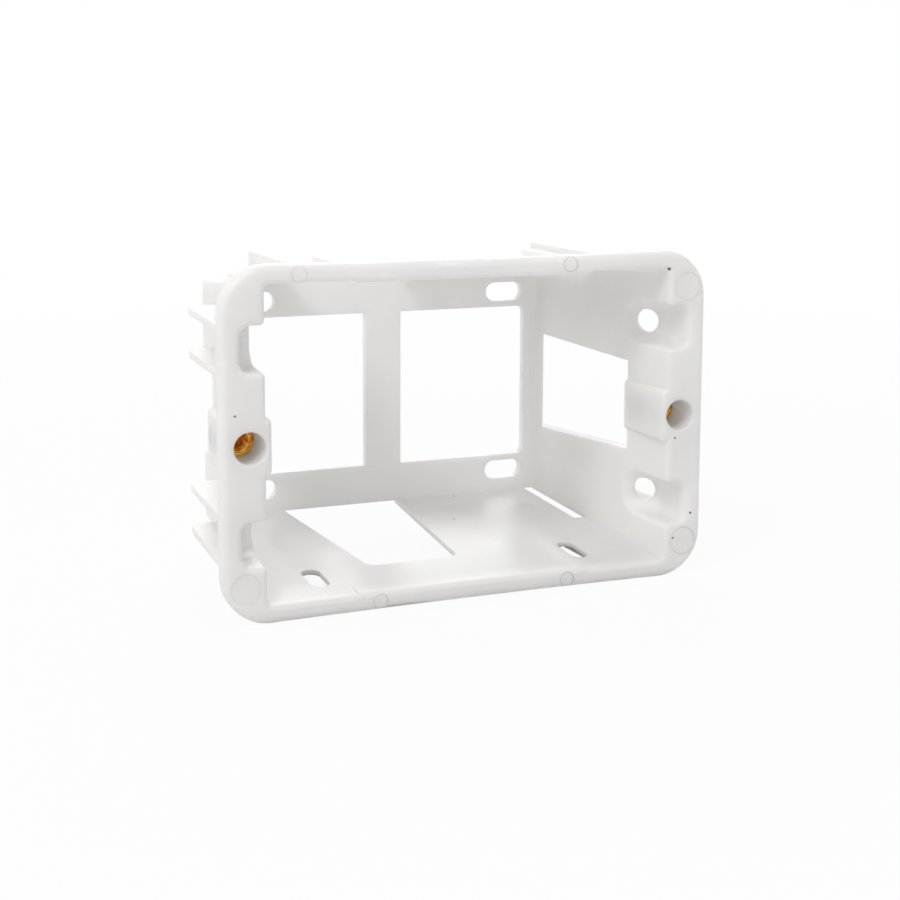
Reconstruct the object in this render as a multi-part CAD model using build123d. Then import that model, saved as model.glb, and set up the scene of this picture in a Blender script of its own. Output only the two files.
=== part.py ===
from build123d import *
import math
import os

# Millimetres. X is to the right, Y goes into the wall and Z is up.
# The origin is in the middle of the front face, halfway between the two fixing screws.

# Rim that lies against the wall, with long edges that are slightly hollow
RIM_WIDTH = 93.5
RIM_HEIGHT = 62.4
RIM_BOW = 0.45
RIM_DEPTH = 3.0
RIM_CORNER_R = 8.5
RIM_EDGE_R = 1.2
SIDE_FLANGE = 7.75
LEVEL_FLANGE = 3.3

# Cavity that narrows towards the rear, and the walls round it
CAVITY_HALF_WIDTH = RIM_WIDTH / 2 - SIDE_FLANGE
CAVITY_HALF_HEIGHT = RIM_HEIGHT / 2 - LEVEL_FLANGE
CAVITY_CORNER_R = 0.8
SIDE_DRAFT = 5.3
FLOOR_DRAFT = 5.05
BOX_DEPTH = 50.0
SIDE_WALL = 2.6
FLOOR_WALL = 1.0
REAR_WALL = 1.8
MOUTH_EDGE_R = 0.9

# Level land at the mouth of the cavity, in the middle of the top and of the floor
LAND_HALF_WIDTH = 22.1
LAND_STANDS_PROUD = 0.45
LAND_RAMP = 1.4

# Fixing bosses, one at each side, and the distance between their screws
RIM_BEYOND_SCREW = 5.0
FIXING_CENTRES = RIM_WIDTH - 2 * RIM_BEYOND_SCREW
BOSS_HEIGHT = 10.0
BOSS_DEPTH = 14.0
BOSS_STANDS_PROUD = 1.1
BOSS_BEHIND_RIM_EDGE = 0.8
BOSS_TAPER = 0.5
BOSS_EDGE_R = 1.0

# Brass threaded inserts, moulded into the bosses
INSERT_RECESS = 8.0
INSERT_RECESS_R = 2.8
RECESS_EDGE_R = 0.5
INSERT_LENGTH = 5.6
INSERT_R = 3.1
INSERT_GROOVE_R = 2.75
INSERT_GROOVE_LENGTH = 1.2
THREAD_CORE_R = 1.5
THREAD_MOUTH_CHAMFER = 0.35
SCREW_TIP_R = 2.0

# Angled screw pockets, one above and one below each boss
POCKET_ABOVE_BOSS = 7.8
POCKET_HEIGHT = 8.1
POCKET_FROM_RIM_EDGE = 3.35
POCKET_DEPTH = 8.8
POCKET_BOTTOM_R = 3.0
POCKET_OUTER_R = 2.0
POCKET_WALL = 1.8
POCKET_LEVEL_WALL = 1.2
POCKET_HOLE_R = 2.3
POCKET_HOLE_FROM_OUTER = 2.7
POCKET_HOLE_OFF_MIDDLE = 0.25

# Place of the pockets, from the bosses and the rim
POCKET_LOW = BOSS_HEIGHT / 2 + POCKET_ABOVE_BOSS
POCKET_HIGH = POCKET_LOW + POCKET_HEIGHT
POCKET_OUTER_X = RIM_WIDTH / 2 - POCKET_FROM_RIM_EDGE

# Stiffening ribs behind the rim
RIB = 1.3
SIDE_RIB_OUTSIDE_POCKET = 0.3
SIDE_RIB_GAP = 0.2
SIDE_RIB_LEAN = 1.65
SIDE_RIB_TIP = 28.4
SIDE_RIB_END = 30.0
SIDE_RIB_BEVEL = 2.9
LEVEL_RIB_SETBACK = 0.8
LONG_RIB_FROM_SIDE = 9.2
LONG_RIB_END = 40.0
SHORT_RIB = 2.4
SHORT_RIB_FROM_SIDE = 17.7
SHORT_RIB_END = 25.0

# Windows and slots in the rear wall
CENTRE_POST = 7.6
REAR_POST = 2.85
REAR_STRIP = 7.85
REAR_WINDOW_CORNER_R = 1.5
REAR_SLOT_FROM_SIDE = 7.55
REAR_SLOT_FROM_TOP = 4.65
REAR_SLOT_LENGTH = 8.2
REAR_SLOT_WIDTH = 3.9

# Windows in the side walls, and the thin outer skin of the post behind each
SIDE_WINDOW_FRONT = 13.4
SIDE_WINDOW_REAR = 45.3
SIDE_WINDOW_HALF_FRONT = 8.7
SIDE_WINDOW_HALF_REAR = 10.0
POST_EDGE = 0.2
POST_SKIN = 0.9
POST_BEVEL = 1.8

# Open notches along the four long edges, outside the plane of the floor or the top
NOTCH_FRONT = 27.3
NOTCH_FRONT_WIDTH = 2.8
NOTCH_REAR_WIDTH = 2.5

# Opening and oval holes in the floor, and the same in the top
OPENING_FRONT = 13.7
OPENING_RIGHT_FRONT_X = 2.4
OPENING_RIGHT_REAR_X = 3.1
OPENING_LEFT_FRONT_X = -15.7
OPENING_LEFT_REAR_X = -21.8
OPENING_CORNER_R = 2.5
OVAL_RIGHT_FROM_SIDE = 14.2
OVAL_LEFT_FROM_SIDE = 12.0
OVAL_Y = 10.8
OVAL_WIDTH = 3.6
OVAL_LENGTH = 8.9

# Round marks of the ejector pins on the front face, each from its nearest corner of the rim
PIN_MARK_DEPTH = 0.15
PIN_MARK_R = 2.6
PIN_MARK_FROM_SIDE = 3.9
PIN_MARK_FROM_LEVEL = 6.8
SMALL_MARK_R = 1.35
SMALL_MARK_FROM_LEVEL = 1.9
SMALL_MARK_FROM_SIDE = 28.4
FAR_MARK_FROM_SIDE = 13.9

# Cutting tools reach this far past the surfaces that they go through
CLEAR = 1.0

# Edges are picked out by where they lie, as near as this
NEAR = 0.1


def inner_half_width(y):
    """Distance from the centre line to a side wall's inner face at depth y."""
    return CAVITY_HALF_WIDTH - y * math.tan(math.radians(SIDE_DRAFT))


def inner_half_height(y):
    """Distance from the centre line to the floor's inner face at depth y."""
    return CAVITY_HALF_HEIGHT - y * math.tan(math.radians(FLOOR_DRAFT))


def across(y):
    """Plane across the box at depth y, that faces the front, with X to the right and Z up."""
    return Plane(origin=(0, y, 0), x_dir=(1, 0, 0), z_dir=(0, -1, 0))


def run(sketch, y_front, y_rear):
    """Extrude a sketch drawn across the box from one depth to another."""
    return extrude(across(y_rear) * sketch, amount=y_rear - y_front)


def slab(points, z_low, z_high):
    """Extrude a plan outline of (x, y) points from one level to another."""
    outline = make_face(Polyline(*points, close=True))
    return extrude(Plane.XY.offset(z_low) * outline, amount=z_high - z_low)


def both_sides(shape):
    """A shape and its mirror image at the left."""
    return [shape, mirror(shape, Plane.YZ)]


def top_and_bottom(shape):
    """A shape and its mirror image below."""
    return [shape, mirror(shape, Plane.XY)]


def four_ways(shape):
    """A shape and its mirror images at the left, below, and both."""
    return both_sides(shape) + [mirror(one, Plane.XY) for one in both_sides(shape)]


def tapered(extra_width, extra_height, y_front, y_rear, corner_r):
    """Block that follows the draft of the cavity, larger than it by a wall on each side."""
    w_front, w_rear = (inner_half_width(y) + extra_width for y in (y_front, y_rear))
    h_front, h_rear = (inner_half_height(y) + extra_height for y in (y_front, y_rear))
    plan = [(-w_front, y_front), (w_front, y_front), (w_rear, y_rear), (-w_rear, y_rear)]
    side = make_face(
        Polyline((y_front, -h_front), (y_rear, -h_rear), (y_rear, h_rear), (y_front, h_front), close=True)
    )
    sheet = Plane(origin=(-w_front, 0, 0), x_dir=(0, 1, 0), z_dir=(1, 0, 0))
    block = slab(plan, -h_front, h_front) & extrude(sheet * side, amount=2 * w_front)
    long_edges = [e for e in block.edges() if abs(e.tangent_at(0.5).Y) > 0.5]
    return fillet(long_edges, corner_r)


def rim_outline():
    """Outline of the rim, with round corners."""
    x = RIM_WIDTH / 2
    z = RIM_HEIGHT / 2
    top = ThreePointArc((-x, z), (0, z - RIM_BOW), (x, z))
    right = Line((x, z), (x, -z))
    floor = ThreePointArc((x, -z), (0, RIM_BOW - z), (-x, -z))
    left = Line((-x, -z), (-x, z))
    outline = make_face([top, right, floor, left])
    return fillet(outline.vertices(), RIM_CORNER_R)


def rim_plate():
    """Flat rim with round front edges."""
    plate = run(rim_outline(), 0, RIM_DEPTH)
    front = plate.edges().filter_by_position(Axis.Y, -0.01, 0.01)
    return fillet(front, RIM_EDGE_R)


def pocket_bottom_y(x, offset=0.0):
    """Depth of a pocket's slanted bottom at x, or of the plane at an offset behind it."""
    return POCKET_DEPTH + POCKET_OUTER_X + offset * math.sqrt(2) - x


def pocket_housing():
    """Outer skin of the upper right pocket, still solid."""
    outer_x = POCKET_OUTER_X + POCKET_WALL
    inner_x = inner_half_width(pocket_bottom_y(inner_half_width(0))) + SIDE_WALL / 2
    points = [
        (inner_x, RIM_DEPTH / 2),
        (outer_x, RIM_DEPTH / 2),
        (outer_x, pocket_bottom_y(outer_x, POCKET_WALL)),
        (inner_x, pocket_bottom_y(inner_x, POCKET_WALL)),
    ]
    return slab(points, POCKET_LOW - POCKET_LEVEL_WALL, POCKET_HIGH + POCKET_LEVEL_WALL)


def pocket_tool():
    """Space of the upper right pocket, open to the front and to the inside."""
    inner_x = inner_half_width(BOX_DEPTH)
    points = [
        (inner_x, -CLEAR),
        (POCKET_OUTER_X, -CLEAR),
        (POCKET_OUTER_X, pocket_bottom_y(POCKET_OUTER_X)),
        (inner_x, pocket_bottom_y(inner_x)),
    ]
    tool = slab(points, POCKET_LOW, POCKET_HIGH)
    slope = Vector(-1, 1, 0).normalized()
    along_bottom = [e for e in tool.edges() if abs(abs(e.tangent_at(0.5).dot(slope)) - 1) < 1e-6]
    tool = fillet(along_bottom, POCKET_BOTTOM_R)
    outer_face = tool.faces().sort_by(Axis.X)[-1]
    round_it = [e for e in outer_face.edges() if e.center().Y > -CLEAR + 0.01]
    return fillet(round_it, POCKET_OUTER_R)


def pocket_hole():
    """Screw hole square to the slanted bottom of the upper right pocket."""
    x = POCKET_OUTER_X - POCKET_HOLE_FROM_OUTER
    middle = (POCKET_LOW + POCKET_HIGH) / 2 - POCKET_HOLE_OFF_MIDDLE
    start = Plane(origin=(x, pocket_bottom_y(x), middle), x_dir=(0, 0, 1), z_dir=(1, 1, 0))
    return start * Cylinder(POCKET_HOLE_R, 2 * (POCKET_WALL + POCKET_BOTTOM_R))


def side_rib(z):
    """Level rib at the right, behind the rim, centred at height z."""
    root = SIDE_WALL / 2
    tip_x = RIM_WIDTH / 2 - SIDE_RIB_LEAN
    points = [
        (inner_half_width(RIM_DEPTH / 2) + root, RIM_DEPTH / 2),
        (RIM_WIDTH / 2 - SIDE_RIB_GAP, RIM_DEPTH / 2),
        (tip_x, SIDE_RIB_TIP),
        (tip_x - SIDE_RIB_BEVEL, SIDE_RIB_END),
        (inner_half_width(SIDE_RIB_END) + root, SIDE_RIB_END),
    ]
    return slab(points, z - RIB / 2, z + RIB / 2)


def upright_rib(x, thickness, end):
    """Upright rib on the top, behind the rim, centred at x."""
    level = RIM_HEIGHT / 2 - RIM_BOW - LEVEL_RIB_SETBACK
    root = FLOOR_WALL / 2
    profile = make_face(
        Polyline(
            (RIM_DEPTH / 2, inner_half_height(RIM_DEPTH / 2) + root),
            (RIM_DEPTH / 2, level),
            (end, level),
            (end, inner_half_height(end) + root),
            close=True,
        )
    )
    sheet = Plane(origin=(x - thickness / 2, 0, 0), x_dir=(0, 1, 0), z_dir=(1, 0, 0))
    return extrude(sheet * profile, amount=thickness)


def ribs():
    """All the ribs behind the rim."""
    found = []
    for z in (POCKET_LOW - SIDE_RIB_OUTSIDE_POCKET, POCKET_HIGH - RIB / 2 + SIDE_RIB_OUTSIDE_POCKET / 2):
        found += four_ways(side_rib(z))
    long_x = CAVITY_HALF_WIDTH - LONG_RIB_FROM_SIDE
    short_x = CAVITY_HALF_WIDTH - SHORT_RIB_FROM_SIDE
    found += four_ways(upright_rib(long_x, RIB, LONG_RIB_END))
    found += four_ways(upright_rib(short_x, SHORT_RIB, SHORT_RIB_END))
    return found


def mouth_land():
    """Level land inside the top's front edge, with a round front and a short ramp at each end."""
    low = CAVITY_HALF_HEIGHT - LAND_STANDS_PROUD
    rear = LAND_STANDS_PROUD / math.tan(math.radians(FLOOR_DRAFT))
    high = CAVITY_HALF_HEIGHT + MOUTH_EDGE_R
    bend = MOUTH_EDGE_R * (1 - math.sqrt(0.5))
    front = [
        Line((rear, low + FLOOR_WALL / 2), (0, high)),
        Line((0, high), (0, low + MOUTH_EDGE_R)),
        ThreePointArc((0, low + MOUTH_EDGE_R), (bend, low + bend), (MOUTH_EDGE_R, low)),
        Line((MOUTH_EDGE_R, low), (rear, low)),
        Line((rear, low), (rear, low + FLOOR_WALL / 2)),
    ]
    sheet = Plane(origin=(-RIM_WIDTH / 2, 0, 0), x_dir=(0, 1, 0), z_dir=(1, 0, 0))
    bar = extrude(sheet * make_face(front), amount=RIM_WIDTH)
    ends = make_face(
        Polyline(
            (-LAND_HALF_WIDTH, low),
            (LAND_HALF_WIDTH, low),
            (LAND_HALF_WIDTH + LAND_RAMP, high),
            (-LAND_HALF_WIDTH - LAND_RAMP, high),
            close=True,
        )
    )
    return bar & run(ends, -CLEAR, rear + CLEAR)


def on_front(edge):
    """Whether an edge lies on the front face, round the mouth of the cavity or a pocket."""
    middle = edge.center()
    within = abs(middle.X) < POCKET_OUTER_X + NEAR and abs(middle.Z) < CAVITY_HALF_HEIGHT + NEAR
    return abs(middle.Y) < NEAR and within


def beside_pocket(edge):
    """Whether an edge is one where a pocket opens through a side wall's inner face."""
    middle = edge.center()
    in_height = POCKET_LOW - NEAR < abs(middle.Z) < POCKET_HIGH + NEAR
    on_wall = abs(abs(middle.X) - inner_half_width(middle.Y)) < 1.5 * NEAR
    return in_height and on_wall and NEAR < middle.Y < BOSS_DEPTH + 2 * CLEAR


def open_shell():
    """Rim, walls, ribs and pockets, with round edges at the front and inside."""
    walls = tapered(SIDE_WALL, FLOOR_WALL, RIM_DEPTH / 2, BOX_DEPTH, CAVITY_CORNER_R + FLOOR_WALL)
    body = rim_plate() + walls + four_ways(pocket_housing()) + ribs()
    body = body - tapered(0, 0, -CLEAR, BOX_DEPTH - REAR_WALL, CAVITY_CORNER_R)
    body = body - four_ways(pocket_tool())
    body = fillet([e for e in body.edges() if on_front(e) or beside_pocket(e)], MOUTH_EDGE_R)
    return body - four_ways(pocket_hole())


def boss():
    """Right fixing boss, solid, flush with the front of the rim and proud of the side wall."""
    inner = inner_half_width(0) - BOSS_STANDS_PROUD
    outer = RIM_WIDTH / 2 - BOSS_BEHIND_RIM_EDGE
    ends = []
    for y, taper in ((0, 0), (BOSS_DEPTH, BOSS_TAPER)):
        centre = Pos((inner + outer) / 2 - taper, 0)
        outline = centre * RectangleRounded(outer - inner, BOSS_HEIGHT, BOSS_EDGE_R)
        ends.append(across(y) * outline)
    block = loft(ends, ruled=True)
    front = block.edges().filter_by_position(Axis.Y, -0.01, 0.01)
    inside = [e for e in front if e.center().X < inner + BOSS_EDGE_R]
    return fillet(inside, MOUTH_EDGE_R)


def insert_groove():
    """Ring round the middle of an insert, where the plastic grips it."""
    middle = INSERT_RECESS + INSERT_LENGTH / 2
    ring = Circle(INSERT_R) - Circle(INSERT_GROOVE_R)
    return run(ring, middle - INSERT_GROOVE_LENGTH / 2, middle + INSERT_GROOVE_LENGTH / 2)


def recess_mouth():
    """Space inside the round edge at the mouth of the recess, on the Y axis."""
    far = INSERT_RECESS_R + RECESS_EDGE_R
    bend = RECESS_EDGE_R * (1 - math.sqrt(0.5))
    profile = [
        Line((0, -CLEAR), (far, -CLEAR)),
        Line((far, -CLEAR), (far, 0)),
        ThreePointArc((far, 0), (INSERT_RECESS_R + bend, bend), (INSERT_RECESS_R, RECESS_EDGE_R)),
        Line((INSERT_RECESS_R, RECESS_EDGE_R), (0, RECESS_EDGE_R)),
        Line((0, RECESS_EDGE_R), (0, -CLEAR)),
    ]
    return revolve(make_face(profile), Axis.Y)


def boss_bore():
    """Right bore: a recess, the seat of the insert, and the way out for the screw's tip."""
    seat_end = INSERT_RECESS + INSERT_LENGTH
    bore = run(Circle(INSERT_RECESS_R), -CLEAR, INSERT_RECESS) + recess_mouth()
    bore = bore + run(Circle(SCREW_TIP_R), INSERT_RECESS, BOSS_DEPTH + CLEAR)
    bore = bore + run(Circle(INSERT_R), INSERT_RECESS, seat_end)
    bore = bore - insert_groove()
    return Pos(FIXING_CENTRES / 2, 0, 0) * bore


def threaded_insert():
    """Brass insert on the Y axis, with a plain bore of the thread's core size."""
    end = INSERT_RECESS + INSERT_LENGTH
    insert = run(Circle(INSERT_R), INSERT_RECESS, end) - insert_groove()
    insert = insert - run(Circle(THREAD_CORE_R), INSERT_RECESS - CLEAR, end + CLEAR)
    mouths = insert.edges().filter_by(GeomType.CIRCLE)
    mouths = [e for e in mouths if abs(e.radius - THREAD_CORE_R) < 0.01]
    return chamfer(mouths, THREAD_MOUTH_CHAMFER)


def rear_window():
    """Right window in the rear wall, with round corners at its outer side."""
    inside = BOX_DEPTH - REAR_WALL
    inner = CENTRE_POST / 2
    outer = inner_half_width(inside) - REAR_POST
    half_height = inner_half_height(inside) - REAR_STRIP
    outline = make_face(
        Polyline(
            (inner, -half_height),
            (outer, -half_height),
            (outer, half_height),
            (inner, half_height),
            close=True,
        )
    )
    outline = fillet(outline.vertices().group_by(Axis.X)[-1], REAR_WINDOW_CORNER_R)
    return run(outline, inside - CLEAR, BOX_DEPTH + CLEAR)


def rear_slot():
    """Upper right slot in the rear wall."""
    inside = BOX_DEPTH - REAR_WALL
    x = inner_half_width(inside) - REAR_SLOT_FROM_SIDE
    z = inner_half_height(inside) - REAR_SLOT_FROM_TOP
    outline = Pos(x, z) * SlotOverall(REAR_SLOT_LENGTH, REAR_SLOT_WIDTH)
    return run(outline, inside - CLEAR, BOX_DEPTH + CLEAR)


def side_window():
    """Right side window, from the boss to the rear post."""
    inner = inner_half_width(BOX_DEPTH) - CLEAR
    outer = inner_half_width(0) + SIDE_WALL + CLEAR
    outline = make_face(
        Polyline(
            (SIDE_WINDOW_FRONT, -SIDE_WINDOW_HALF_FRONT),
            (SIDE_WINDOW_REAR, -SIDE_WINDOW_HALF_REAR),
            (SIDE_WINDOW_REAR, SIDE_WINDOW_HALF_REAR),
            (SIDE_WINDOW_FRONT, SIDE_WINDOW_HALF_FRONT),
            close=True,
        )
    )
    sheet = Plane(origin=(inner, 0, 0), x_dir=(0, 1, 0), z_dir=(1, 0, 0))
    return extrude(sheet * outline, amount=outer - inner)


def post_relief():
    """Bevel and step in the outer face of the right rear post, as high as the side window."""
    bevel_end = SIDE_WINDOW_REAR + POST_BEVEL
    outer = inner_half_width(0) + SIDE_WALL + CLEAR
    points = [
        (inner_half_width(SIDE_WINDOW_REAR) + POST_EDGE, SIDE_WINDOW_REAR),
        (inner_half_width(bevel_end) + POST_SKIN, bevel_end),
        (inner_half_width(BOX_DEPTH + CLEAR) + POST_SKIN, BOX_DEPTH + CLEAR),
        (outer, BOX_DEPTH + CLEAR),
        (outer, SIDE_WINDOW_REAR),
    ]
    return slab(points, -SIDE_WINDOW_HALF_REAR, SIDE_WINDOW_HALF_REAR)


def notch():
    """Open notch along the upper right long edge, as far as the rear."""
    outer = inner_half_width(NOTCH_FRONT) + SIDE_WALL + CLEAR
    points = [
        (inner_half_width(NOTCH_FRONT) - NOTCH_FRONT_WIDTH, NOTCH_FRONT),
        (inner_half_width(BOX_DEPTH) - NOTCH_REAR_WIDTH, BOX_DEPTH + CLEAR),
        (outer, BOX_DEPTH + CLEAR),
        (outer, NOTCH_FRONT),
    ]
    block = slab(points, 0, RIM_HEIGHT / 2 + CLEAR)
    beyond = SIDE_WALL + NOTCH_FRONT / 2
    inside = tapered(beyond, 0, NOTCH_FRONT - CLEAR, BOX_DEPTH + 2 * CLEAR, CAVITY_CORNER_R)
    return block - inside


def level_opening():
    """Opening in the top, slanted at its left and open to the rear."""
    points = [
        (OPENING_RIGHT_FRONT_X, OPENING_FRONT),
        (OPENING_RIGHT_REAR_X, BOX_DEPTH + CLEAR),
        (OPENING_LEFT_REAR_X, BOX_DEPTH + CLEAR),
        (OPENING_LEFT_FRONT_X, OPENING_FRONT),
    ]
    tool = slab(points, inner_half_height(BOX_DEPTH - REAR_WALL), RIM_HEIGHT / 2 + CLEAR)
    corners = tool.edges().filter_by(Axis.Z)
    corners = [e for e in corners if abs(e.center().Y - OPENING_FRONT) < 0.01]
    return fillet(corners, OPENING_CORNER_R)


def oval_hole(x):
    """Oval hole in the top at x, longer in Y."""
    level = inner_half_height(BOX_DEPTH)
    outline = Pos(x, OVAL_Y) * Rot(0, 0, 90) * SlotOverall(OVAL_LENGTH, OVAL_WIDTH)
    return extrude(Plane.XY.offset(level) * outline, amount=RIM_HEIGHT / 2 + CLEAR - level)


def oval_holes():
    """The two oval holes in the top and the two in the floor."""
    right = oval_hole(CAVITY_HALF_WIDTH - OVAL_RIGHT_FROM_SIDE)
    left = oval_hole(OVAL_LEFT_FROM_SIDE - CAVITY_HALF_WIDTH)
    return top_and_bottom(right) + top_and_bottom(left)


def pin_mark(x, z, radius):
    """Shallow round mark on the front of the rim."""
    return run(Pos(x, z) * Circle(radius), -CLEAR, PIN_MARK_DEPTH)


def pin_marks():
    """Large marks near three corners of the rim and small ones on its long sides."""
    x = RIM_WIDTH / 2 - PIN_MARK_FROM_SIDE
    z = RIM_HEIGHT / 2 - PIN_MARK_FROM_LEVEL
    near_x = RIM_WIDTH / 2 - SMALL_MARK_FROM_SIDE
    far_x = FAR_MARK_FROM_SIDE - RIM_WIDTH / 2
    level = RIM_HEIGHT / 2 - SMALL_MARK_FROM_LEVEL
    marks = [pin_mark(at_x, at_z, PIN_MARK_R) for at_x, at_z in ((x, z), (x, -z), (-x, -z))]
    small = ((near_x, level), (near_x, -level), (-near_x, -level), (far_x, level))
    return marks + [pin_mark(at_x, at_z, SMALL_MARK_R) for at_x, at_z in small]


def box_shell():
    """The whole moulded box."""
    body = open_shell() - both_sides(side_window()) + both_sides(boss()) + top_and_bottom(mouth_land())
    cuts = both_sides(rear_window()) + four_ways(rear_slot()) + both_sides(post_relief())
    cuts += four_ways(notch()) + top_and_bottom(level_opening()) + oval_holes()
    cuts += both_sides(boss_bore()) + pin_marks()
    return body - cuts


def main():
    os.makedirs("parts", exist_ok=True)
    shell = box_shell()
    right = Pos(FIXING_CENTRES / 2, 0, 0) * threaded_insert()
    left = Pos(-FIXING_CENTRES / 2, 0, 0) * threaded_insert()
    export_step(shell, "parts/box_shell.step")
    export_step(left, "parts/left_threaded_insert.step")
    export_step(right, "parts/right_threaded_insert.step")
    print("shell solids", len(shell.solids()), "volume", round(shell.volume))


main()
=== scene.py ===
import logging
import math
from dataclasses import dataclass
from enum import Enum

import bmesh
import bpy
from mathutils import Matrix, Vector


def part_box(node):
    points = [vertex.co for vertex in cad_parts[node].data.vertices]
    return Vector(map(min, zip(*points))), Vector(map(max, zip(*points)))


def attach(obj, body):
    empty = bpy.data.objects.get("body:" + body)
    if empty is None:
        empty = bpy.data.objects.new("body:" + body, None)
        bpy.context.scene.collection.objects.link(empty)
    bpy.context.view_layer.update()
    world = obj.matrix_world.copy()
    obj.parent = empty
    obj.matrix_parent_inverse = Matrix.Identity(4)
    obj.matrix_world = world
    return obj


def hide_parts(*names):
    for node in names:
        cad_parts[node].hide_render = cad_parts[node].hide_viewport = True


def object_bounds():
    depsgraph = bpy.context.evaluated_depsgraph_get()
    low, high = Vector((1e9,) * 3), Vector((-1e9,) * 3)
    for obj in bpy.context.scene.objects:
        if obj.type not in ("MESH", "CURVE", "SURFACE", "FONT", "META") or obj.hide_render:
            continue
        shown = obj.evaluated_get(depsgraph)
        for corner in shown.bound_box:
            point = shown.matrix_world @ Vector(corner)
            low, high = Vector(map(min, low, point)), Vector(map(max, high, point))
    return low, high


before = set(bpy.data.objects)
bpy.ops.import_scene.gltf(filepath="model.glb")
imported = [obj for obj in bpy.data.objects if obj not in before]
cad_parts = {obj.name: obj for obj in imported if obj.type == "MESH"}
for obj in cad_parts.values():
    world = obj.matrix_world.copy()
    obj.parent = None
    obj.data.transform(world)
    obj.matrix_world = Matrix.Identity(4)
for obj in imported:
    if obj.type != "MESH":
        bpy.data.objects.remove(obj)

CAD_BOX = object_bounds()
LOG = logging.getLogger("mounting_box")

# One millimetre in the scene's metres
MM = 0.001

WHITE = (1.0, 1.0, 1.0, 1.0)

# Places of the colour sockets on a mix node
MIX_FIRST = 6
MIX_SECOND = 7
MIX_RESULT = 2


class Side(Enum):
    """The two sides of the box that carry a fixing boss, seen from the front."""

    LEFT = "left"
    RIGHT = "right"


class RayKind(Enum):
    """Kinds of ray that see the white background in place of the lit one."""

    CAMERA = "Is Camera Ray"
    GLOSSY = "Is Glossy Ray"
    TRANSMISSION = "Is Transmission Ray"


@dataclass(frozen=True)
class Spot:
    """A round spot on the moulding, in millimetres in the box's frame."""

    x: float
    y: float
    z: float
    radius: float

    @property
    def centre(self) -> tuple:
        """Middle of the spot."""
        return (self.x, self.y, self.z)


@dataclass(frozen=True)
class PinShadeRing(Spot):
    """A painted shade line round a pin mark on the front of the rim, standing in for the shading of the
    mark's shallow step.
    """

    strength: float


@dataclass(frozen=True)
class Pattern:
    """A noise pattern, by its scale per metre and its number of octaves."""

    scale: float
    octaves: float


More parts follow.
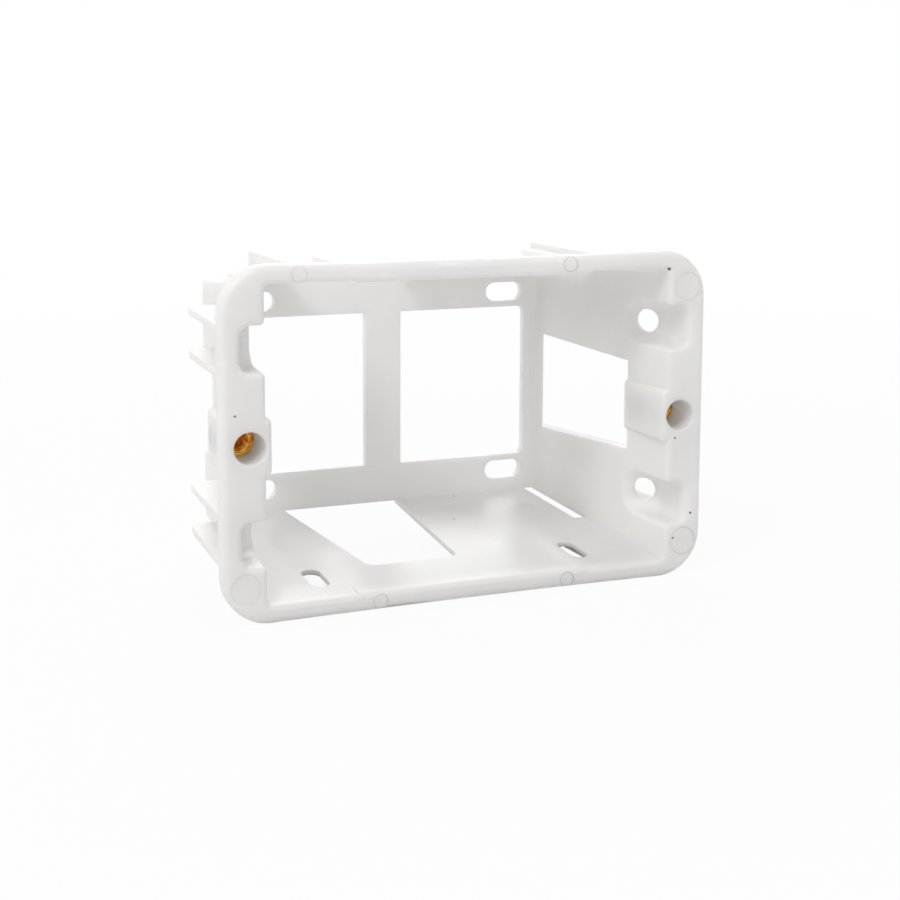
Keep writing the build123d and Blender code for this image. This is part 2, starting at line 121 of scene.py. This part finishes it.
class NodeSheet:
    """Small helper that adds shader nodes to one material or world."""

    def __init__(self, tree: bpy.types.NodeTree) -> None:
        """Start on an emptied node tree."""
        tree.nodes.clear()
        self.tree = tree

    def add(self, kind: str, **settings: object) -> bpy.types.Node:
        """Add a node and set its plain attributes.

        Args:
            kind: Blender's name of the node type.
            **settings: Attribute names and values.

        Returns:
            The new node.
        """
        node = self.tree.nodes.new(kind)
        for name, value in settings.items():
            setattr(node, name, value)
        return node

    def join(self, source: bpy.types.NodeSocket, target: bpy.types.NodeSocket) -> None:
        """Link one socket to another."""
        self.tree.links.new(source, target)

    def math(self, operation: str, *values: object) -> bpy.types.NodeSocket:
        """Add a math node.

        Args:
            operation: Blender's name of the operation.
            *values: Numbers or sockets, in the node's order.

        Returns:
            The node's output socket.
        """
        node = self.add("ShaderNodeMath", operation=operation)
        for slot, value in zip(node.inputs, values):
            if isinstance(value, (int, float)):
                slot.default_value = value
            else:
                self.join(value, slot)
        return node.outputs[0]

    def distance(self, place: bpy.types.NodeSocket, centre: tuple) -> bpy.types.NodeSocket:
        """Add the distance to a point.

        Args:
            place: Socket with the object's own coordinates.
            centre: The point, in millimetres.

        Returns:
            The socket with the distance, in metres.
        """
        gap = self.add("ShaderNodeVectorMath", operation="DISTANCE")
        self.join(place, gap.inputs[0])
        gap.inputs[1].default_value = tuple(value * MM for value in centre)
        return gap.outputs["Value"]

    def smooth_step(
        self,
        value: bpy.types.NodeSocket,
        start: float,
        end: float,
        low: float = 0.0,
        high: float = 1.0,
    ) -> bpy.types.NodeSocket:
        """Add a soft step from one level to another.

        Args:
            value: Socket that drives the step.
            start: Value at which the result is the first level.
            end: Value at which the result is the second level.
            low: The first level.
            high: The second level.

        Returns:
            The socket with the result.
        """
        step = self.add("ShaderNodeMapRange", interpolation_type="SMOOTHSTEP")
        self.join(value, step.inputs["Value"])
        step.inputs["From Min"].default_value = start
        step.inputs["From Max"].default_value = end
        step.inputs["To Min"].default_value = low
        step.inputs["To Max"].default_value = high
        return step.outputs["Result"]

    def bump(
        self,
        height: bpy.types.NodeSocket,
        strength: float,
        distance: float,
        normal: bpy.types.NodeSocket | None = None,
    ) -> bpy.types.NodeSocket:
        """Add a bump.

        Args:
            height: Socket with the height.
            strength: Strength of the bump, up to one.
            distance: Height of the bump, in millimetres.
            normal: Normal that the bump is laid on, if not the surface's own.

        Returns:
            The socket with the normal.
        """
        node = self.add("ShaderNodeBump")
        node.inputs["Strength"].default_value = strength
        node.inputs["Distance"].default_value = distance * MM
        self.join(height, node.inputs["Height"])
        if normal is not None:
            self.join(normal, node.inputs["Normal"])
        return node.outputs["Normal"]

    def noise(self, place: bpy.types.NodeSocket, pattern: Pattern) -> bpy.types.NodeSocket:
        """Add a noise texture.

        Args:
            place: Socket with the texture's coordinates.
            pattern: Scale and octaves of the noise.

        Returns:
            The socket with values around one half.
        """
        node = self.add("ShaderNodeTexNoise")
        node.inputs["Scale"].default_value = pattern.scale
        node.inputs["Detail"].default_value = pattern.octaves
        self.join(place, node.inputs["Vector"])
        return node.outputs["Fac"]

    def ramp(
        self, value: bpy.types.NodeSocket, low: tuple, high: tuple, stops: tuple
    ) -> bpy.types.NodeSocket:
        """Add a colour ramp between two colours.

        Args:
            value: Socket that drives the ramp.
            low: Colour at and below the first stop.
            high: Colour at and above the second stop.
            stops: Positions of the two stops.

        Returns:
            The colour socket.
        """
        node = self.add("ShaderNodeValToRGB")
        first, last = node.color_ramp.elements
        first.position, last.position = stops
        first.color, last.color = (*low, 1.0), (*high, 1.0)
        self.join(value, node.inputs["Fac"])
        return node.outputs["Color"]

    def seen_directly(self) -> bpy.types.NodeSocket:
        """Add the test for rays that see the background itself.

        Returns:
            A socket that is one for those rays and nothing for the others.
        """
        path = self.add("ShaderNodeLightPath")
        first, second, third = (path.outputs[kind.value] for kind in RayKind)
        return self.math("MAXIMUM", self.math("MAXIMUM", first, second), third)


@dataclass(frozen=True)
class MouldedPlastic:
    """White moulded plastic with faint flow marks, a fine bump, a few dirt specks and painted shade lines
    round the pin marks.
    """

    name: str = "moulded_plastic"
    pale: tuple = (0.91, 0.90, 0.885)
    shade: tuple = (0.87, 0.86, 0.845)
    dirt: tuple = (0.10, 0.09, 0.08)
    # Darker colour of the painted shade lines round the pin marks
    pin_shade_tone: tuple = (0.60, 0.59, 0.57)
    pin_shade_half_width: float = 0.18
    speck_softness: float = 3.0
    refraction: float = 1.49
    see_through: float = 1.0
    light_path: float = 2.8
    light_spread: tuple = (1.0, 0.99, 0.97)
    flow: Pattern = Pattern(45.0, 3.0)
    flow_stops: tuple = (0.35, 0.6)
    cloud: Pattern = Pattern(160.0, 4.0)
    cloud_roughness: float = 0.18
    least_roughness: float = 0.30
    wave: Pattern = Pattern(95.0, 1.0)
    wave_strength: float = 0.45
    wave_height: float = 0.8
    grain: Pattern = Pattern(420.0, 5.0)
    grain_strength: float = 0.12
    grain_height: float = 0.3
    specks: tuple = ()
    # Pin marks that get a painted shade line
    rings: tuple = ()

    def speck_mask(self, sheet: NodeSheet, place: bpy.types.NodeSocket) -> bpy.types.NodeSocket:
        """Mark the points that lie within a speck.

        Args:
            sheet: Node sheet of the material.
            place: Socket with the object's own coordinates.

        Returns:
            A socket that is one inside a speck and nothing elsewhere.
        """
        total = None
        for speck in self.specks:
            gap = sheet.distance(place, speck.centre)
            edge = speck.radius * MM
            inside = sheet.smooth_step(gap, edge, edge / self.speck_softness)
            total = inside if total is None else sheet.math("MAXIMUM", total, inside)
        return total

    def pin_shade_mask(self, sheet: NodeSheet, place: bpy.types.NodeSocket) -> bpy.types.NodeSocket:
        """Mark the points on the painted shade line round a pin mark.

        Args:
            sheet: Node sheet of the material.
            place: Socket with the object's own coordinates.

        Returns:
            A socket with the strength of the line, and nothing elsewhere.
        """
        total = None
        for ring in self.rings:
            off_line = sheet.math("SUBTRACT", sheet.distance(place, ring.centre), ring.radius * MM)
            off_line = sheet.math("ABSOLUTE", off_line)
            line = sheet.smooth_step(off_line, self.pin_shade_half_width * MM, 0.0)
            line = sheet.math("MULTIPLY", line, ring.strength)
            total = line if total is None else sheet.math("MAXIMUM", total, line)
        return total

    def tinted(
        self, sheet: NodeSheet, colour: bpy.types.NodeSocket, mask: bpy.types.NodeSocket, tint: tuple
    ) -> bpy.types.NodeSocket:
        """Lay a second colour over the first where a mask is set.

        Args:
            sheet: Node sheet of the material.
            colour: Socket with the first colour.
            mask: Socket with the share of the second colour.
            tint: The second colour.

        Returns:
            The socket with the result.
        """
        mix = sheet.add("ShaderNodeMix", data_type="RGBA")
        sheet.join(mask, mix.inputs["Factor"])
        sheet.join(colour, mix.inputs[MIX_FIRST])
        mix.inputs[MIX_SECOND].default_value = (*tint, 1.0)
        return mix.outputs[MIX_RESULT]

    def build(self) -> bpy.types.Material:
        """Make the material.

        Returns:
            The new material.
        """
        material = bpy.data.materials.new(self.name)
        material.use_nodes = True
        sheet = NodeSheet(material.node_tree)
        place = sheet.add("ShaderNodeTexCoord").outputs["Object"]
        shader = sheet.add("ShaderNodeBsdfPrincipled")
        shader.inputs["IOR"].default_value = self.refraction
        shader.inputs["Subsurface Weight"].default_value = self.see_through
        shader.inputs["Subsurface Radius"].default_value = self.light_spread
        shader.inputs["Subsurface Scale"].default_value = self.light_path * MM
        flow = sheet.noise(place, self.flow)
        colour = sheet.ramp(flow, self.shade, self.pale, self.flow_stops)
        # Painted shade: darker lines round the pin marks stand in for the shading of their shallow steps
        if self.rings:
            colour = self.tinted(sheet, colour, self.pin_shade_mask(sheet, place), self.pin_shade_tone)
        if self.specks:
            colour = self.tinted(sheet, colour, self.speck_mask(sheet, place), self.dirt)
        sheet.join(colour, shader.inputs["Base Color"])
        cloud = sheet.noise(place, self.cloud)
        roughness = sheet.math("MULTIPLY_ADD", cloud, self.cloud_roughness, self.least_roughness)
        sheet.join(roughness, shader.inputs["Roughness"])
        waves = sheet.bump(sheet.noise(place, self.wave), self.wave_strength, self.wave_height)
        grain = sheet.noise(place, self.grain)
        grain = sheet.bump(grain, self.grain_strength, self.grain_height, waves)
        sheet.join(grain, shader.inputs["Normal"])
        out = sheet.add("ShaderNodeOutputMaterial")
        sheet.join(shader.outputs["BSDF"], out.inputs["Surface"])
        return material


@dataclass(frozen=True)
class MachinedBrass:
    """Turned brass with fine turning marks and a slightly uneven tarnish."""

    axis: tuple
    name: str = "machined_brass"
    bright: tuple = (1.0, 0.56, 0.10)
    tarnish: tuple = (0.66, 0.20, 0.02)
    mottle: Pattern = Pattern(900.0, 3.0)
    mottle_stops: tuple = (0.35, 0.65)
    cloud: Pattern = Pattern(1500.0, 2.0)
    cloud_roughness: float = 0.2
    least_roughness: float = 0.08
    mark_pitch: float = 0.4
    mark_strength: float = 0.5
    mark_height: float = 0.04
    grain: Pattern = Pattern(1800.0, 2.0)
    grain_strength: float = 0.5
    grain_height: float = 0.15

    def build(self) -> bpy.types.Material:
        """Make the material.

        Returns:
            The new material.
        """
        material = bpy.data.materials.new(self.name)
        material.use_nodes = True
        sheet = NodeSheet(material.node_tree)
        place = sheet.add("ShaderNodeTexCoord").outputs["Object"]
        shader = sheet.add("ShaderNodeBsdfPrincipled")
        shader.inputs["Metallic"].default_value = 1.0
        mottle = sheet.noise(place, self.mottle)
        colour = sheet.ramp(mottle, self.tarnish, self.bright, self.mottle_stops)
        sheet.join(colour, shader.inputs["Base Color"])
        cloud = sheet.noise(place, self.cloud)
        roughness = sheet.math("MULTIPLY_ADD", cloud, self.cloud_roughness, self.least_roughness)
        sheet.join(roughness, shader.inputs["Roughness"])
        from_axis = sheet.distance(place, self.axis)
        turns = sheet.math("MULTIPLY", from_axis, 2 * math.pi / (self.mark_pitch * MM))
        marks = sheet.bump(sheet.math("SINE", turns), self.mark_strength, self.mark_height)
        grain = sheet.noise(place, self.grain)
        grain = sheet.bump(grain, self.grain_strength, self.grain_height, marks)
        sheet.join(grain, shader.inputs["Normal"])
        out = sheet.add("ShaderNodeOutputMaterial")
        sheet.join(shader.outputs["BSDF"], out.inputs["Surface"])
        return material


@dataclass(frozen=True)
class StudioWhite:
    """Pale floor that looks white to the camera and still keeps a faint shadow."""

    name: str = "studio_white"
    colour: tuple = (0.82, 0.82, 0.82)
    glow_near: float = 0.93
    near: float = 0.12
    far: float = 0.6

    def build(self) -> bpy.types.Material:
        """Make the material.

        Returns:
            The new material.
        """
        material = bpy.data.materials.new(self.name)
        material.use_nodes = True
        sheet = NodeSheet(material.node_tree)
        lit = sheet.add("ShaderNodeBsdfDiffuse")
        lit.inputs["Color"].default_value = (*self.colour, 1.0)
        white = sheet.add("ShaderNodeEmission")
        white.inputs["Strength"].default_value = 1.0
        place = sheet.add("ShaderNodeTexCoord").outputs["Object"]
        reach = sheet.add("ShaderNodeVectorMath", operation="LENGTH")
        sheet.join(place, reach.inputs[0])
        glow = sheet.smooth_step(reach.outputs["Value"], self.near, self.far, self.glow_near)
        share = sheet.math("MULTIPLY", sheet.seen_directly(), glow)
        mix = sheet.add("ShaderNodeMixShader")
        sheet.join(share, mix.inputs["Fac"])
        sheet.join(lit.outputs["BSDF"], mix.inputs[1])
        sheet.join(white.outputs["Emission"], mix.inputs[2])
        out = sheet.add("ShaderNodeOutputMaterial")
        sheet.join(mix.outputs["Shader"], out.inputs["Surface"])
        return material


@dataclass(frozen=True)
class BoxShell:
    """The moulded box, kept as the CAD node with its own finish."""

    node: str = "box_shell"
    specks: tuple = (
        Spot(38.85, 0.3, 27.75, 0.5),
        Spot(-44.4, 0.0, 5.8, 0.28),
        Spot(40.7, 0.0, -4.3, 0.28),
        Spot(44.4, 0.0, -19.1, 0.34),
        Spot(40.8, 0.0, -23.7, 0.36),
        Spot(15.5, 47.3, -23.7, 0.3),
        Spot(9.7, 33.6, -24.9, 0.3),
    )
    # Painted shade lines round the pin marks, with centres and radii in millimetres
    rings: tuple = (
        PinShadeRing(42.85, 0.1, 24.4, 2.6, 0.3),
        PinShadeRing(42.85, 0.1, -24.4, 2.6, 0.6),
        PinShadeRing(-42.85, 0.1, -24.4, 2.6, 0.3),
        PinShadeRing(18.35, 0.1, 29.3, 1.35, 0.8),
        PinShadeRing(18.35, 0.1, -29.3, 1.35, 1.0),
        PinShadeRing(-18.35, 0.1, -29.3, 1.35, 0.6),
        PinShadeRing(-32.85, 0.1, 29.3, 1.35, 0.4),
    )

    def dress(self) -> None:
        """Give the node its plastic."""
        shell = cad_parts[self.node]
        plastic = MouldedPlastic(specks=self.specks, rings=self.rings)
        shell.data.materials.clear()
        shell.data.materials.append(plastic.build())
        LOG.info("piece %s dressed", self.node)


@dataclass(frozen=True)
class ThreadedInsert:
    """A brass insert with a real thread, in place of the plain CAD one, in millimetres."""

    side: Side
    outer_r: float = 3.1
    edge: float = 0.15
    groove_r: float = 2.75
    groove_length: float = 1.2
    core_r: float = 1.5
    thread_depth: float = 0.3
    flank_steepness: float = 1.25
    pitch: float = 0.6
    chamfer: float = 0.35
    round_steps: int = 72
    steps_per_pitch: int = 10
    sharp_angle: float = 30.0
    slot: str = "insert"

    @property
    def node(self) -> str:
        """Name of the CAD node that this piece stands for."""
        return f"{self.side.value}_threaded_insert"

    def bore_radius(self, depth: float, turn: float, length: float) -> float:
        """Radius of the threaded bore at one point.

        Args:
            depth: Distance from the front end, in millimetres.
            turn: Angle as a share of a whole turn.
            length: Length of the insert, in millimetres.

        Returns:
            The radius in millimetres.
        """
        phase = (depth / self.pitch - turn) % 1.0
        groove = 1.0 - abs(2.0 * phase - 1.0)
        thread = self.core_r + self.thread_depth * min(1.0, self.flank_steepness * groove)
        mouth = self.core_r + self.chamfer - min(depth, length - depth)
        return max(thread, mouth)

    def outer_profile(self, length: float) -> list:
        """Outline of the outside from the front end to the rear end.

        Args:
            length: Length of the insert, in millimetres.

        Returns:
            A list of (depth, radius) in millimetres.
        """
        start = (length - self.groove_length) / 2
        end = (length + self.groove_length) / 2
        return [
            (0.0, self.core_r + self.chamfer),
            (0.0, self.outer_r - self.edge),
            (self.edge, self.outer_r),
            (start, self.outer_r),
            (start, self.groove_r),
            (end, self.groove_r),
            (end, self.outer_r),
            (length - self.edge, self.outer_r),
            (length, self.outer_r - self.edge),
            (length, self.core_r + self.chamfer),
        ]

    def ring(self, bm: bmesh.types.BMesh, centre: Vector, front: float, points: list) -> list:
        """Add one ring of vertices round the insert's axis.

        Args:
            bm: Mesh under construction.
            centre: Centre of the CAD node, in metres.
            front: Depth of the insert's front end, in metres.
            points: One (depth, radius) for each step of the turn, in millimetres.

        Returns:
            The new vertices.
        """
        made = []
        for index, (depth, radius) in enumerate(points):
            angle = 2 * math.pi * index / len(points)
            across = centre.x + radius * MM * math.cos(angle)
            up = centre.z + radius * MM * math.sin(angle)
            made.append(bm.verts.new((across, front + depth * MM, up)))
        return made

    def build_mesh(self, centre: Vector, front: float, length: float) -> bpy.types.Mesh:
        """Build the closed mesh, along the outside to the rear and back through the bore.

        Args:
            centre: Centre of the CAD node, in metres.
            front: Depth of the insert's front end, in metres.
            length: Length of the insert, in millimetres.

        Returns:
            The new mesh.
        """
        bm = bmesh.new()
        rings = []
        for depth, radius in self.outer_profile(length):
            rings.append(self.ring(bm, centre, front, [(depth, radius)] * self.round_steps))
        turns = [index / self.round_steps for index in range(self.round_steps)]
        count = round(length / self.pitch * self.steps_per_pitch)
        for step in range(count - 1, 0, -1):
            depth = length * step / count
            points = [(depth, self.bore_radius(depth, turn, length)) for turn in turns]
            rings.append(self.ring(bm, centre, front, points))
        rings.append(rings[0])
        for near, far in zip(rings, rings[1:]):
            for index in range(self.round_steps):
                after = (index + 1) % self.round_steps
                bm.faces.new((near[index], near[after], far[after], far[index]))
        bmesh.ops.recalc_face_normals(bm, faces=bm.faces)
        mesh = bpy.data.meshes.new(f"{self.side.value}_brass_insert")
        bm.to_mesh(mesh)
        bm.free()
        return mesh

    def build(self) -> bpy.types.Object:
        """Build the insert and put it in its node's place.

        Returns:
            The new object.
        """
        low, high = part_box(self.node)
        centre = (low + high) / 2
        mesh = self.build_mesh(centre, low.y, (high.y - low.y) / MM)
        piece = bpy.data.objects.new(mesh.name, mesh)
        bpy.context.scene.collection.objects.link(piece)
        axis = (centre.x / MM, low.y / MM, centre.z / MM)
        mesh.materials.append(MachinedBrass(axis).build())
        for face in mesh.polygons:
            face.use_smooth = True
        mesh.set_sharp_from_angle(angle=math.radians(self.sharp_angle))
        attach(piece, "root")
        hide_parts(self.node)
        LOG.info("piece %s built with %d faces", piece.name, len(mesh.polygons))
        return piece


@dataclass(frozen=True)
class Softbox:
    """One rectangular studio lamp, in metres."""

    name: str
    place: tuple
    size: tuple
    watts: float

    def build(self, target: Vector) -> None:
        """Make the lamp and turn it to a point.

        Args:
            target: Point that the lamp faces, in metres.
        """
        data = bpy.data.lights.new(self.name, "AREA")
        data.shape = "RECTANGLE"
        data.size, data.size_y = self.size
        data.energy = self.watts
        lamp = bpy.data.objects.new(self.name, data)
        lamp.location = self.place
        lamp.rotation_euler = (target - Vector(self.place)).to_track_quat("-Z", "Y").to_euler()
        bpy.context.scene.collection.objects.link(lamp)


@dataclass(frozen=True)
class Studio:
    """Floor, world, lamps and camera, in metres, with the lens and its sensor in millimetres."""

    front_level: float = 0.54
    rear_level: float = 0.84
    level_reach: float = 0.7
    floor_half: float = 6.0
    lamps: tuple = (
        Softbox("key", (-0.5, -0.42, 0.75), (0.3, 0.3), 2.9),
        Softbox("back", (0.3, 0.85, 0.45), (0.4, 0.4), 1.2),
    )
    camera_place: tuple = (-0.117066, -0.266978, 0.057898)
    camera_turn: tuple = (1.43569, -0.004821, -0.406162)
    sensor_width: float = 36.0
    lens: float = 66.435
    shift: tuple = (-0.01926, -0.13354)
    clip: tuple = (0.01, 50.0)

    def build_floor(self) -> None:
        """Make the pale floor at the level of the box's lowest point."""
        level = CAD_BOX[0].z
        half = self.floor_half
        mesh = bpy.data.meshes.new("floor")
        corners = [(-half, -half, level), (half, -half, level), (half, half, level), (-half, half, level)]
        mesh.from_pydata(corners, [], [(0, 1, 2, 3)])
        mesh.materials.append(StudioWhite().build())
        floor = bpy.data.objects.new("floor", mesh)
        bpy.context.scene.collection.objects.link(floor)

    def build_world(self) -> None:
        """Make the soft light from all round, stronger from behind, and the white background."""
        world = bpy.data.worlds.new("studio")
        world.use_nodes = True
        sheet = NodeSheet(world.node_tree)
        heading = sheet.add("ShaderNodeSeparateXYZ")
        sheet.join(sheet.add("ShaderNodeTexCoord").outputs["Generated"], heading.inputs["Vector"])
        depth = heading.outputs["Y"]
        reach = self.level_reach
        level = sheet.smooth_step(depth, -reach, reach, self.front_level, self.rear_level)
        light = sheet.add("ShaderNodeBackground")
        light.inputs["Color"].default_value = WHITE
        sheet.join(level, light.inputs["Strength"])
        white = sheet.add("ShaderNodeBackground")
        white.inputs["Color"].default_value = WHITE
        mix = sheet.add("ShaderNodeMixShader")
        sheet.join(sheet.seen_directly(), mix.inputs["Fac"])
        sheet.join(light.outputs["Background"], mix.inputs[1])
        sheet.join(white.outputs["Background"], mix.inputs[2])
        out = sheet.add("ShaderNodeOutputWorld")
        sheet.join(mix.outputs["Shader"], out.inputs["Surface"])
        bpy.context.scene.world = world

    def build_camera(self) -> None:
        """Put the camera where the photograph was taken from."""
        data = bpy.data.cameras.new("photo_camera")
        data.sensor_width = self.sensor_width
        data.lens = self.lens
        data.shift_x, data.shift_y = self.shift
        data.clip_start, data.clip_end = self.clip
        camera = bpy.data.objects.new("photo_camera", data)
        camera.location = self.camera_place
        camera.rotation_euler = self.camera_turn
        bpy.context.scene.collection.objects.link(camera)
        bpy.context.scene.camera = camera

    def build(self) -> None:
        """Make the whole studio."""
        self.build_camera()
        self.build_floor()
        self.build_world()
        target = (CAD_BOX[0] + CAD_BOX[1]) / 2
        for lamp in self.lamps:
            lamp.build(target)
        bpy.context.scene.view_settings.view_transform = "Standard"


def main() -> None:
    """Build the studio and the box's pieces in order."""
    logging.basicConfig(level=logging.INFO)
    Studio().build()
    BoxShell().dress()
    for side in Side:
        ThreadedInsert(side).build()


if __name__ == "__main__":
    main()
